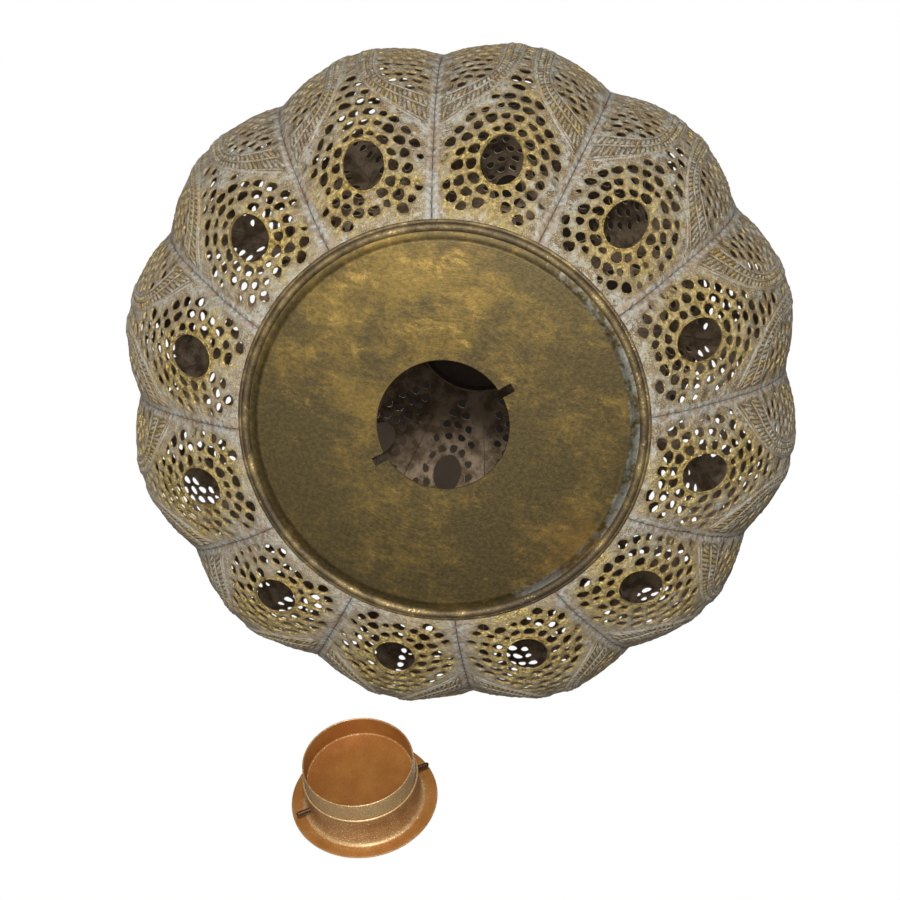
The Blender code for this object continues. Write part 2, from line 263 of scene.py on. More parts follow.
def pierced_brass():
    """Chased sheet: beige-grey patina, yellow brass where it is rubbed, pale deposits along the seams.
    Painted light too: paler towards -Y and +X, painted shade by each hole's edge and a painted highlight on
    each hole's rim.
    """
    made = Finish("pierced_brass")
    broad = made.noise(24.0, 3.0)
    patch = made.noise(110.0, 4.0, 0.6)
    fine = made.noise(430.0, 4.0, 0.65)
    grain = made.noise(1700.0, 3.0, 0.65)
    middling = made.noise(230.0, 3.0, 0.6)
    x, y, _ = made.axes()
    dull = made.layers(
        made.blend(made.spread(patch, 0.42, 0.56), (0.270, 0.185, 0.085), (0.380, 0.370, 0.310)),
        (made.spread(broad, 0.46, 0.60, 0.0, 0.7), (0.290, 0.200, 0.080)),
        (made.spread(middling, 0.52, 0.62, 0.0, 0.75), (0.150, 0.102, 0.045)),
        (made.spread(middling, 0.44, 0.36, 0.0, 0.80), (0.500, 0.490, 0.420)),
        (made.spread(fine, 0.52, 0.62), (0.110, 0.075, 0.035)),
        (made.spread(grain, 0.53, 0.64), (0.560, 0.530, 0.440)),
        # Painted light: the sheet is paler towards -Y and +X, one side of the body lighter than the other.
        (made.spread(made.total((x, 0.5), (y, -1.0)), -0.18, 0.18, 0.0, 0.36), (0.500, 0.430, 0.310)),
        # Painted shade: the sheet darkens by each hole's edge, where the bars round off.
        (made.both(made.painted("edge"), made.spread(fine, 0.30, 0.60, 0.95, 0.45)), (0.200, 0.135, 0.050)),
    )
    worn = made.blend(made.spread(fine, 0.38, 0.62), (0.34, 0.22, 0.050), (0.82, 0.64, 0.25))
    worn_share = made.total((made.painted("wear"), 1.0), (patch, 0.9), (broad, 0.9), (fine, 0.8))
    worn_share = made.spread(worn_share, 1.58, 2.02)
    pale = made.blend(made.spread(patch, 0.44, 0.56), (0.50, 0.50, 0.45), (0.40, 0.315, 0.225))
    pale = made.blend(made.spread(fine, 0.50, 0.66, 0.0, 0.7), pale, (0.20, 0.15, 0.10))
    pale_share = made.total((made.painted("deposit"), 1.0), (fine, 0.9), (patch, 0.9))
    pale_share = made.spread(pale_share, 1.20, 1.75)
    dirt = made.both(made.painted("grime"), made.spread(grain, 0.25, 0.60, 1.0, 0.62))
    inside = made.painted("inside")
    soot = made.blend(made.spread(patch, 0.35, 0.65), (0.120, 0.076, 0.040), (0.320, 0.238, 0.155))
    colour = made.layers(
        dull, (worn_share, worn), (pale_share, pale), (dirt, (0.085, 0.055, 0.026)), (inside, soot)
    )
    bare = made.without(made.without(worn_share, pale_share), inside)
    roughness = made.total((made.mix(bare, 0.55, 0.25), 1.0), (grain, 0.15))
    height = made.total((middling, 0.8), (fine, 1.0), (grain, 0.45))
    return made.finish(colour, roughness, made.mix(bare, 0.25, 0.95), height, 0.0016)


def plate_brass():
    """Aged plate: blotchy olive brown over brass, faint turning marks, a pale deposit by part of its edge,
    and painted light: lighter towards +Y and in two opposite corners.
    """
    made = Finish("plate_brass")
    radius, turned_place = made.polar()
    x, y, _ = made.axes()
    rings = made.noise(1.0, 3.0, 0.6, place=made.stretched((900.0, 14.0, 60.0), turned_place))
    broad = made.noise(16.0, 4.0, 0.6)
    patch = made.noise(70.0, 5.0, 0.65, 0.4)
    fine = made.noise(420.0, 4.0, 0.7)
    grain = made.noise(1700.0, 3.0, 0.7)
    streaks = made.noise(1.0, 6.0, 0.7, 0.8, place=made.stretched((70.0, 190.0, 80.0)))
    # x times y, used for painted light that is lighter in two opposite corners.
    corner = made.both(x, y)
    dark = made.blend(made.spread(fine, 0.36, 0.68), (0.052, 0.037, 0.012), (0.086, 0.062, 0.020))
    olive = made.blend(made.spread(fine, 0.34, 0.66), (0.122, 0.078, 0.016), (0.172, 0.114, 0.029))
    olive = made.blend(made.spread(made.noise(11.0, 3.0), 0.48, 0.62, 0.0, 0.7), olive, (0.155, 0.084, 0.020))
    bright = made.blend(made.spread(grain, 0.40, 0.62), (0.215, 0.133, 0.030), (0.32, 0.215, 0.066))
    # Painted light: the y and corner terms make the plate lighter towards +Y and where x and y share a sign;
    # the other terms are the plate's own blotchy tone.
    tone_and_painted_light = made.total(
        (broad, 1.1), (patch, 0.5), (streaks, 0.5), (grain, 0.10), (rings, 0.07), (y, 0.55), (corner, 16.0)
    )
    colour = made.blend(made.spread(tone_and_painted_light, 1.05, 1.36), dark, olive)
    # The rubbed share: real rubbing from patch, grain and streaks, and a painted highlight from the y and
    # corner terms, brighter brass towards +Y and where x and y share a sign.
    rubbed = made.total((patch, 0.8), (grain, 0.25), (streaks, 0.60), (y, 0.35), (corner, 11.0))
    rubbed = made.spread(rubbed, 0.91, 1.16)
    colour = made.blend(rubbed, colour, bright)
    by_edge = made.spread(radius, PLATE_FLAT_RADIUS - 0.004, PLATE_FLAT_RADIUS + 0.001, 0.0, 0.60)
    to_one_side = made.spread(x, 0.03, -0.09, -0.45, -0.02)
    pale = made.total((by_edge, 1.0), (patch, 1.0), (fine, 0.3), (to_one_side, 1.0))
    pale = made.spread(pale, 1.12, 1.34)
    colour = made.blend(pale, colour, made.blend(fine, (0.13, 0.115, 0.080), (0.27, 0.28, 0.245)))
    bare = made.without(rubbed, pale)
    roughness = made.total((made.mix(bare, 0.46, 0.36), 1.0), (fine, 0.14))
    height = made.total((rings, 0.25), (fine, 0.7))
    return made.finish(colour, roughness, made.mix(bare, 0.72, 0.95), height, 0.0003)


def rim_brass():
    """Rolled rim: olive-brown brass with specks where it is rubbed and dark dirt in its pits."""
    made = Finish("rim_brass")
    patch = made.noise(85.0, 4.0, 0.6)
    fine = made.noise(650.0, 4.0, 0.7)
    rubbed = made.spread(made.total((patch, 0.7), (fine, 0.8)), 0.80, 1.00)
    colour = made.layers(
        made.blend(made.spread(patch, 0.38, 0.62), (0.090, 0.062, 0.024), (0.195, 0.138, 0.056)),
        (made.spread(made.noise(18.0, 3.0), 0.46, 0.60), (0.070, 0.048, 0.024)),
        (made.spread(fine, 0.48, 0.66), (0.040, 0.027, 0.015)),
        (rubbed, (0.46, 0.35, 0.15)),
    )
    return made.finish(colour, made.mix(rubbed, 0.50, 0.32), made.mix(rubbed, 0.55, 0.92), fine, 0.0004)


def fitting_brass():
    """Crown fittings: cast and turned brass, browned in the hollows."""
    made = Finish("fitting_brass")
    patch = made.noise(120.0, 4.0, 0.6)
    fine = made.noise(800.0, 4.0, 0.7)
    colour = made.blend(made.spread(patch, 0.35, 0.65), (0.26, 0.185, 0.075), (0.44, 0.33, 0.14))
    colour = made.blend(made.spread(fine, 0.50, 0.72), colour, (0.10, 0.068, 0.030))
    inside = made.painted("inside")
    colour = made.blend(inside, colour, made.blend(patch, (0.045, 0.030, 0.020), (0.110, 0.075, 0.052)))
    roughness = made.total((made.mix(inside, 0.30, 0.70), 1.0), (fine, 0.25))
    metallic = made.mix(inside, made.mix(patch, 0.75, 0.95), 0.10)
    return made.finish(colour, roughness, metallic, fine, 0.0003)


def tray_paint():
    """Satin copper-gold paint with a fine sparkling grain, rubbed dull and pale outside the pan and neck. The
    rubbed mark also holds painted highlights along the lip, the neck's foot, the flange's edge and the pan's
    inner corner.
    """
    made = Finish("tray_paint", Coat_Weight=0.10, Coat_Roughness=0.30)
    broad = made.noise(60.0, 3.0)
    fine = made.noise(700.0, 3.0, 0.6)
    grain = made.noise(1500.0, 2.0, 0.6)
    # The rubbed mark is real rubbing on the neck, flange and pan wall, and painted highlights on the tray's
    # edges and fillets.
    rubbed = made.total((made.painted("rubbed"), 1.0), (made.spread(broad, 0.3, 0.7), 0.25))
    rubbed_and_highlit_share = made.spread(rubbed, 0.2, 0.6, 0.06, 0.80)
    colour = made.layers(
        made.blend(made.spread(broad, 0.35, 0.65), (0.250, 0.089, 0.015), (0.298, 0.119, 0.021)),
        (made.spread(fine, 0.52, 0.72, 0.0, 0.5), (0.20, 0.075, 0.018)),
        (made.spread(rubbed, 0.15, 1.10), (0.390, 0.242, 0.102)),
        (made.both(made.spread(grain, 0.56, 0.68), rubbed_and_highlit_share), (0.74, 0.62, 0.38)),
    )
    roughness = made.total((1.0, 0.36), (fine, 0.18))
    height = made.total((fine, 1.0), (grain, 0.5))
    return made.finish(colour, roughness, made.spread(rubbed, 0.0, 1.0, 0.35, 0.40), height, 0.00014)


def pin_steel():
    """Pins: dark brown oxidised steel."""
    made = Finish("pin_steel")
    fine = made.noise(900.0, 4.0, 0.7)
    colour = made.blend(made.spread(fine, 0.35, 0.65), (0.025, 0.013, 0.008), (0.100, 0.050, 0.025))
    return made.finish(colour, made.mix(fine, 0.35, 0.60), 0.8, fine, 0.0003)


PIERCED_BRASS = pierced_brass()
PLATE_BRASS = plate_brass()
RIM_BRASS = rim_brass()
FITTING_BRASS = fitting_brass()
TRAY_PAINT = tray_paint()
PIN_STEEL = pin_steel()


# Helpers


def linked(name, data):
    """An object of the scene that holds this data."""
    made = bpy.data.objects.new(name, data)
    bpy.context.scene.collection.objects.link(made)
    return made


def add_piece(name, mesh, material, slot, body, *nodes):
    """Links a mesh as a piece of the object that rides on a body and stands for these CAD nodes."""
    mesh.materials.clear()
    mesh.materials.append(material)
    piece = linked(name, mesh)
    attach(piece, body)
    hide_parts(*nodes)
    return piece


def turned_mesh(name, profile, steps, place=None, closed=True, mark=None):
    """A profile of (radius, height) turned about Z. One that isn't closed starts and ends on the axis.

    With a mark, each point of the profile has a third number, painted on the mesh under that name.
    """
    rings = len(profile)
    radius, height = np.array([point[:2] for point in profile]).T
    points = at_turn(radius, full_turn(steps)[:, None], np.tile(height, (steps, 1))).reshape(-1, 3)
    faces = []
    for step in range(steps):
        here = step * rings
        there = (step + 1) % steps * rings
        for ring in range(rings if closed else rings - 1):
            after = (ring + 1) % rings
            faces.append((here + ring, there + ring, there + after, here + after))
    mesh = bpy.data.meshes.new(name)
    mesh.from_pydata(points.tolist(), [], faces)
    if mark is not None:
        paint(mesh, mark, [point[2] for point in profile] * steps)
    tidy(mesh)
    if place is not None:
        mesh.transform(place)
    return mesh


def steps_from(radius, height, *steps):
    """Points of a profile given as steps out and up from a radius and a height, with any marks they have."""
    return [(radius + out, height + up, *mark) for out, up, *mark in steps]


def round_bar(radius, height, half_wide, half_high, sides):
    """The profile of a bar that runs round the axis."""
    return [(radius + half_wide * math.cos(a), height + half_high * math.sin(a)) for a in full_turn(sides)]


def smooth(mesh, angle=40.0):
    mesh.shade_smooth()
    mesh.set_sharp_from_angle(angle=math.radians(angle))


def joined(name, meshes):
    """One mesh that holds several."""
    bm = bmesh.new()
    for mesh in meshes:
        bm.from_mesh(mesh)
    whole = bpy.data.meshes.new(name)
    bm.to_mesh(whole)
    bm.free()
    smooth(whole)
    return whole


def tidy(mesh, angle=40.0, merge=True):
    """Joins points that coincide, if asked to, faces every surface outward and shades it smooth."""
    bm = bmesh.new()
    bm.from_mesh(mesh)
    if merge:
        bmesh.ops.remove_doubles(bm, verts=bm.verts, dist=1e-7)
    bmesh.ops.recalc_face_normals(bm, faces=bm.faces)
    bm.to_mesh(mesh)
    bm.free()
    smooth(mesh, angle)


def paint(mesh, name, values):
    layer = mesh.attributes.new(name, "FLOAT", "POINT")
    layer.data.foreach_set("value", np.asarray(values, np.float32))


# The lobe's surface, over (u, v)

ANGLES = np.linspace(LOW_ANGLE, HIGH_ANGLE, 4001)
CREST_STEPS = np.hypot(np.diff(CREST_RADIUS * np.cos(ANGLES)), np.diff(HALF_HEIGHT * np.sin(ANGLES)))
CREST_ARC = np.concatenate([[0.0], np.cumsum(CREST_STEPS)])
CREST_ARC -= np.interp(0.0, ANGLES, CREST_ARC)
V_LOW = float(CREST_ARC[0])
V_HIGH = float(CREST_ARC[-1])


def arc_at_radius(radius, side):
    """v where the crest has this radius, below the equator for side -1 and above it for side 1."""
    return float(np.interp(side * math.acos(radius / CREST_RADIUS), ANGLES, CREST_ARC))


def half_width(v):
    """u at the seam."""
    return CREST_RADIUS * np.cos(np.interp(v, CREST_ARC, ANGLES)) * LOBE_STEP / 2


def depth_share(along):
    ease = unit(np.minimum(along, 1.0 - along) / DEPTH_FADE)
    return EDGE_DEPTH_SHARE + (1.0 - EDGE_DEPTH_SHARE) * ease * ease * (3.0 - 2.0 * ease)


def sheet_point(u, v):
    angle = np.interp(v, CREST_ARC, ANGLES)
    along = (angle - LOW_ANGLE) / (HIGH_ANGLE - LOW_ANGLE)
    across = u / half_width(v)
    crest = CREST_RADIUS * np.cos(angle)
    sink = LOBE_DEPTH * crest * depth_share(along) * across**2
    out = np.stack([np.cos(angle) / CREST_RADIUS, np.sin(angle) / HALF_HEIGHT])
    out /= np.hypot(*out)
    radius = crest - sink * out[0]
    turn = across * LOBE_STEP / 2
    height = HALF_HEIGHT * np.sin(angle) - sink * out[1]
    return at_turn(radius, turn, height)


def skin(u, v, lift):
    """Points that stand off the sheet by lift, kept between the lobe's seams. Its crest is at +X."""
    u = np.asarray(u, float)
    v = np.clip(np.asarray(v, float), V_LOW, V_HIGH)
    reach = 0.0002
    right = sheet_point(u + reach, v) - sheet_point(u - reach, v)
    upward = sheet_point(u, np.minimum(v + reach, V_HIGH)) - sheet_point(u, np.maximum(v - reach, V_LOW))
    normal = np.cross(right, upward)
    normal /= np.linalg.norm(normal, axis=-1, keepdims=True)
    points = sheet_point(u, v) + normal * np.asarray(lift, float)[..., None]
    radius = np.hypot(points[..., 0], points[..., 1])
    limit = LOBE_STEP / 2 - SEAM_GAP / 2 / radius
    turn = np.clip(np.arctan2(points[..., 1], points[..., 0]), -limit, limit)
    return at_turn(radius, turn, points[..., 2])


# The chased pattern: teardrop fields of holes round two eyes, rope bands beside them, lenses on the seams

# An eye has a height v and half sizes. The holes round it have a pitch along their rings, a step between
# rings, an open share and a number of rings. The sheet is rubbed as far as the glow.
LOWER_EYE = {"v": arc_at_radius(0.150, -1), "half": (0.0120, 0.0160), "pitch": 0.0088, "ring": 0.0076}
UPPER_EYE = {"v": arc_at_radius(0.094, 1), "half": (0.0090, 0.0120), "pitch": 0.0082, "ring": 0.0073}
LOWER_EYE |= {"open": 1.0, "rings": 14, "glow": 0.026}
UPPER_EYE |= {"open": 0.76, "rings": 16, "glow": 0.020}
EYES = (LOWER_EYE, UPPER_EYE)

# Each edge of a rope band leaves the equator at a share of the half width, and meets the seam at a height, by
# a power of the height.
BAND_EDGES = ((0.07, 0.0840, 3.5), (0.27, 0.0600, 6.2))
RIDGE_SHARES = (0.02, 0.15, 0.64, 1.00)
RIDGE_HALF = 0.0007
RIDGE_HEIGHT = 0.0009
ROPE_SHARES = ((0.18, 0.61), (0.67, 0.96))
ROPE_STEP = 0.0029
STRAND_WIDTHS = (0.00090, 0.00125)
STRAND_HEIGHTS = (0.00060, 0.00085)
SEAM_MARGIN = 0.0046
RIM_MARGIN = 0.0024
BAND_MARGIN = 0.0007
HOLE_SIDES = 12
EYE_SIDES = 44
BURR = 0.00038
BURR_TOP = 0.00026
BURR_BELOW = 0.0006
SWELL = 0.00045
HAMMER = 0.0006
DENT_FADE = 0.006
SWELL_FADE = 0.004
SWELL_REACH = 0.0009
EDGE_REACH = 0.0010
CRACK = 0.0008
GRIME_HEIGHT = 0.0004
RELIEF_SINK = 0.0001

# The flat layout: points on the outline, rows of points beside the seams, and a lattice over the rest.
OUTLINE_ROWS = 150
OUTLINE_TOP = 9
OUTLINE_BOTTOM = 25
SEAM_ROWS = (0.0007, 0.0018, 0.0032, 0.0050)
LATTICE = 0.0022
LATTICE_MARGIN = 0.0066
EYE_CLEARANCE = 0.0012
HOLE_CLEARANCE = 0.0005


def band_place(share, v):
    """u of the line a share of the way across the rope band. Past the seam where the band has run out."""
    start, reach, power = (a + share * (b - a) for a, b in zip(*BAND_EDGES))
    return (start + (1.0 - start) * (np.abs(v) / reach) ** power) * half_width(v)


def seam_width(v):
    """How far the solder spreads from a seam, wider where the panels meet the plate."""
    return 0.0042 + 0.0020 * unit((V_LOW + 0.030 - v) / 0.030)


def in_field(u, v):
    """Whether points lie in the two teardrop fields that hold the eyes."""
    inside = np.abs(u) < np.minimum(band_place(0.0, v) - BAND_MARGIN, half_width(v) - SEAM_MARGIN)
    return inside & (v > V_LOW + RIM_MARGIN) & (v < V_HIGH - RIM_MARGIN)


def in_lens(u, v):
    """Whether points lie between a band's outer edge and the seam."""
    past_band = np.abs(u) > band_place(1.0, v) + BAND_MARGIN + 0.0006
    return past_band & (np.abs(u) < half_width(v) - SEAM_MARGIN + 0.0004) & (np.abs(v) < BAND_EDGES[1][1])


def oval(u, v, half_u, half_v, tilt, rng, sides=HOLE_SIDES, rough=0.09, squareness=0.7):
    """The corners of a hand-sawn hole."""
    turns = full_turn(sides)
    square = 2.0 + rng.uniform(0.0, squareness)
    radius = (np.abs(np.cos(turns)) ** square + np.abs(np.sin(turns)) ** square) ** (-1.0 / square)
    radius *= 1.0 + rough * np.cos(2.0 * turns + rng.uniform(0.0, math.tau))
    radius *= 1.0 + 0.8 * rough * np.cos(3.0 * turns + rng.uniform(0.0, math.tau))
    x = half_u * radius * np.cos(turns)
    y = half_v * radius * np.sin(turns)
    c, s = math.cos(tilt), math.sin(tilt)
    return np.stack([u + x * c - y * s, v + x * s + y * c], axis=-1)


class Piercing:
    """The holes of one panel. One that would break into its neighbours is made smaller or dropped."""

    def __init__(self, rng):
        self.rng = rng
        self.holes = []
        self.spans = []

    @staticmethod
    def span(corners):
        """A hole's corners with the middles of its sides, its own middle, and its reach from there."""
        around = np.concatenate([corners, (corners + np.roll(corners, -1, axis=0)) / 2])
        middle = corners.mean(axis=0)
        return around, middle, float(np.linalg.norm(corners - middle, axis=1).max())

    def add(self, corners):
        self.holes.append(corners)
        self.spans.append(self.span(corners))

    def free(self, corners, bar):
        """Whether a hole keeps a bar of metal between itself and every other hole."""
        around, middle, reach = self.span(corners)
        for other, other_middle, other_reach in self.spans:
            near = np.linalg.norm(middle - other_middle) <= reach + other_reach + bar
            if near and np.linalg.norm(around[:, None] - other[None], axis=2).min() < bar:
                return False
        return True

    def try_hole(self, u, v, half_u, half_v, tilt, where, bar=0.0012):
        for share in (1.0, 0.86, 0.73, 0.62):
            corners = oval(u, v, half_u * share, half_v * share, tilt, self.rng)
            if where(corners[:, 0], corners[:, 1]).all() and self.free(corners, bar):
                self.add(corners)
                return

    def eye(self, eye):
        half_u, half_v = eye["half"]
        self.add(oval(0.0, eye["v"], half_u, half_v, 0.0, self.rng, EYE_SIDES, 0.012, 0.0))

    def rings(self, eye):
        """Rings of holes that follow the eye's oval, as far as the field goes."""
        half_u, half_v = eye["half"]
        pitch = eye["pitch"]
        for ring in range(eye["rings"]):
            away = 0.0018 + (ring + 0.42) * eye["ring"]
            a, b = half_u + away, half_v + away
            length = math.pi * (3.0 * (a + b) - math.sqrt((3.0 * a + b) * (a + 3.0 * b)))
            number = max(int(round(length / pitch)), 8)
            start = math.pi / 2 + (ring % 2) * math.pi / number
            for step in range(number):
                turn = start + math.tau * (step + self.rng.uniform(-0.10, 0.10)) / number
                wander = self.rng.uniform(-0.0005, 0.0005)
                u = (a + wander) * math.cos(turn)
                v = eye["v"] + (b + wander) * math.sin(turn)
                tilt = math.atan2(math.sin(turn) / b, math.cos(turn) / a) + self.rng.uniform(-0.3, 0.3)
                long = eye["open"] * pitch * self.rng.uniform(0.36, 0.45)
                short = eye["open"] * eye["ring"] * self.rng.uniform(0.36, 0.43)
                self.try_hole(u, v, short, long, tilt, in_field)

    def crest_row(self):
        """A single row of small holes up the crest, between the bands."""
        v = -0.045
        while v < 0.045:
            self.try_hole(self.rng.uniform(-0.0003, 0.0003), v, 0.0022, 0.0026, 0.0, in_field, 0.0010)
            v += 0.0066

    def lenses(self):
        """Smaller holes in staggered rows between each band and the seam."""
        high_pitch = 0.0063
        wide_pitch = 0.0074
        rows = int(BAND_EDGES[1][1] / high_pitch)
        for side in (-1, 1):
            for row in range(-rows, rows + 1):
                v = row * high_pitch
                for column in range(9):
                    u = half_width(v) - SEAM_MARGIN - 0.0026 - (column + 0.5 * (row % 2)) * wide_pitch
                    u += self.rng.uniform(-0.0006, 0.0006)
                    high = v + self.rng.uniform(-0.0006, 0.0006)
                    tilt = self.rng.uniform(-0.5, 0.5)
                    self.try_hole(side * u, high, 0.0029, 0.0024, tilt, in_lens, 0.0011)


def hammered(points, number):
    """Small uneven swellings of hand-worked sheet, one a point, unlike those of any other panel."""
    return np.array([HAMMER * noise.noise(Vector(point) * 60.0) for point in points + number * 3.0])


def solder(u, v, away, number):
    """How high the solder stands in the valley at a distance from the seam, uneven along its length."""
    sides = number * 2.0 + np.sign(u)
    uneven = np.array([noise.noise(Vector((side, height * 90.0, 0.0))) for side, height in zip(sides, v)])
    width = seam_width(v) * (1.0 + 0.35 * uneven)
    share = unit(1.0 - away / width)
    fill = 0.0010 * (1.0 + 0.5 * uneven) * share**1.4
    groove = unit(away / 0.0007)
    return fill * (0.25 + 0.75 * groove)


def hole_distance(u, v, spans):
    """How far each point of the sheet is from the nearest edge of a hole."""
    edge = np.concatenate([around for around, _, _ in spans])
    tree = kdtree.KDTree(len(edge))
    for index, (a, b) in enumerate(edge):
        tree.insert((a, b, 0.0), index)
    tree.balance()
    return np.array([tree.find((a, b, 0.0))[2] for a, b in zip(u, v)])


def sheet_layout(piercing):
    """The flat panel's points, edges to keep, outline's length, and each hole's first point and size.

    The outline comes first, then the holes, then the points between them.
    """
    points = []
    edges = []

    def loop(corners):
        first = len(points)
        points.extend(map(tuple, corners))
        edges.extend((first + number, first + (number + 1) % len(corners)) for number in range(len(corners)))

    rows = np.linspace(V_LOW, V_HIGH, OUTLINE_ROWS)
    top = [(u, V_HIGH) for u in np.linspace(half_width(V_HIGH), -half_width(V_HIGH), OUTLINE_TOP)[1:-1]]
    bottom = [(u, V_LOW) for u in np.linspace(-half_width(V_LOW), half_width(V_LOW), OUTLINE_BOTTOM)[1:-1]]
    right = [(half_width(v), v) for v in rows]
    left = [(-half_width(v), v) for v in rows[::-1]]
    loop(bottom + right + top + left)
    outline_count = len(points)
    ring_of = []
    for hole in piercing.holes:
        ring_of.append((len(points), len(hole)))
        middle = hole.mean(axis=0)
        arms = hole - middle
        loop(middle + arms * (1.0 + BURR / np.linalg.norm(arms, axis=1, keepdims=True)))
    _, middles, reaches = zip(*piercing.spans[len(EYES) :])
    middles, clear = np.array(middles), np.array(reaches) + HOLE_CLEARANCE
    eyes = np.array([[0.0, eye["v"]] for eye in EYES])
    halves = np.array([eye["half"] for eye in EYES]) + EYE_CLEARANCE
    for away in SEAM_ROWS:
        for v in rows[1:-1:2]:
            for side in (-1, 1):
                points.append((side * (half_width(v) - away), v))
    for row in range(1, int((V_HIGH - V_LOW) / LATTICE)):
        v = V_LOW + row * LATTICE
        across = np.arange(-30, 31) * LATTICE + (row % 2) * LATTICE / 2
        for u in across[np.abs(across) < half_width(v) - LATTICE_MARGIN]:
            here = np.array([u, v])
            in_hole = (np.linalg.norm(middles - here, axis=1) < clear).any()
            if not in_hole and ((((here - eyes) / halves) ** 2).sum(axis=1) >= 1.0).all():
                points.append((u, v))
    return points, edges, outline_count, ring_of


class Relief:
    """Raised work on the outside of a panel, gathered as points over (u, v, lift) and faces."""

    def __init__(self, start):
        self.start = start
        self.places = []
        self.faces = []
        self.wear = []
        self.deposit = []

    def grid(self, rows, wear, deposit, closed_across=False, closed_along=False):
        """Joins rows of (u, v, lift) points of equal length into a strip."""
        first = self.start + len(self.places)
        width = len(rows[0])
        for row in rows:
            self.places.extend(row)
            self.wear.extend([wear] * width)
            self.deposit.extend([deposit] * width)
        for number in range(len(rows) if closed_along else len(rows) - 1):
            here = first + number * width
            there = first + (number + 1) % len(rows) * width
            for column in range(width if closed_across else width - 1):
                after = (column + 1) % width
                self.faces.append((here + column, here + after, there + after, there + column))

    def ridge(self, line, half, height, wear, deposit):
        """A half-round wire laid along a line of (u, v) points."""
        line = np.array(line)
        ahead = np.gradient(line, axis=0)
        ahead /= np.linalg.norm(ahead, axis=1, keepdims=True)
        aside = np.stack([-ahead[:, 1], ahead[:, 0]], axis=1)
        rows = []
        ends = len(line) - 1
        for number, (point, side) in enumerate(zip(line, aside)):
            taper = min(1.0, 0.25 + 0.75 * min(number, ends - number) / 3.0)
            row = []
            for turn in np.linspace(0.0, math.pi, 5):
                place = point + side * half * math.cos(turn)
                row.append((*place, -RELIEF_SINK + (height * math.sin(turn)) * taper))
            rows.append(row)
        self.grid(rows, wear, deposit)

    def stroke(self, middle, ahead, half_long, half_wide, height, wear):
        """A short raised grain, as one strand of the rope."""
        aside = np.array([-ahead[1], ahead[0]])
        rings = []
        for share, lift in ((1.0, -RELIEF_SINK), (0.80, 0.6 * height), (0.40, height)):
            ring = []
            for turn in full_turn(8):
                reach = ahead * half_long * math.cos(turn) + aside * half_wide * math.sin(turn)
                ring.append((*(middle + share * reach), lift))
            rings.append(ring)
        last = len(rings) * 8 + self.start + len(self.places)
        self.grid(rings, wear, 0.0, closed_across=True)
        self.faces.append(tuple(range(last - 8, last)))

    def bead(self, eye, wear):
        """The raised round rim of an eye."""
        half_u, half_v = eye["half"]
        radius = 0.00062
        rows = []
        for turn in full_turn(64):
            out = np.array([math.cos(turn) * half_v, math.sin(turn) * half_u])
            out /= np.linalg.norm(out)
            middle = np.array([half_u * math.cos(turn), eye["v"] + half_v * math.sin(turn)]) + out * 0.0004
            row = []
            for around in full_turn(8):
                place = middle + out * radius * math.cos(around)
                row.append((*place, radius * math.sin(around) + 0.0001))
            rows.append(row)
        self.grid(rows, wear, 0.0, closed_across=True, closed_along=True)


def band_line(share, side, half, step=0.0016):
    """(u, v) points along a line of a rope band, from the equator to where the solder starts."""
    line = []
    v = 0.0
    while True:
        u = float(band_place(share, v))
        if u > half_width(v) - SEAM_MARGIN + 0.0012:
            return line
        line.append((side * u, half * v))
        slope = (float(band_place(share, v + 0.0005)) - u) / 0.0005
        v += step / math.hypot(1.0, slope)


def chase_bands(relief, rng):
    """Four rope bands: on each side of the crest, below and above the equator."""
    for side in (-1, 1):
        for half in (-1, 1):
            for number, share in enumerate(RIDGE_SHARES):
                outer = number in (0, len(RIDGE_SHARES) - 1)
                line = band_line(share, side, half)
                relief.ridge(line, RIDGE_HALF, RIDGE_HEIGHT, 0.35, 0.62 if outer else 0.40)
            for low, high in ROPE_SHARES:
                line = np.array(band_line((low + high) / 2, side, half, ROPE_STEP))
                edge = np.array([side * float(band_place(high, v)) for v in np.abs(line[:, 1])])
                for point, border, ahead in zip(line, edge, np.gradient(line, axis=0)):
                    ahead = ahead / np.linalg.norm(ahead)
                    room = min(abs(border - point[0]) * abs(ahead[1]), 0.0050)
                    slant = side * half * (1.00 + rng.uniform(-0.20, 0.20))
                    c, s = math.cos(slant), math.sin(slant)
                    lean = np.array([ahead[0] * c - ahead[1] * s, ahead[0] * s + ahead[1] * c])
                    width = rng.uniform(*STRAND_WIDTHS)
                    height = rng.uniform(*STRAND_HEIGHTS)
                    relief.stroke(point, lean, room * 1.05, width, height, 0.30 + rng.uniform(-0.25, 0.25))


def band_cover(u, v):
    """1 on the sheet under the rope bands, where dirt stays between the strands, and 0 elsewhere."""
    u = np.abs(u)
    within = (u > band_place(0.03, v)) & (u < band_place(0.97, v)) & (u < half_width(v) - SEAM_MARGIN)
    return (within & (np.abs(v) < BAND_EDGES[0][1])).astype(float)


def eye_glow(u, v):
    """How rubbed the sheet is round the eyes, from 0 to 1."""
    found = 0.0
    for eye in EYES:
        half_u, half_v = eye["half"]
        away = np.hypot(u / half_u, (v - eye["v"]) / half_v)
        found = found + np.exp(-(((away - 1.0) * (half_u + half_v) / 2 / eye["glow"]) ** 2))
    return found


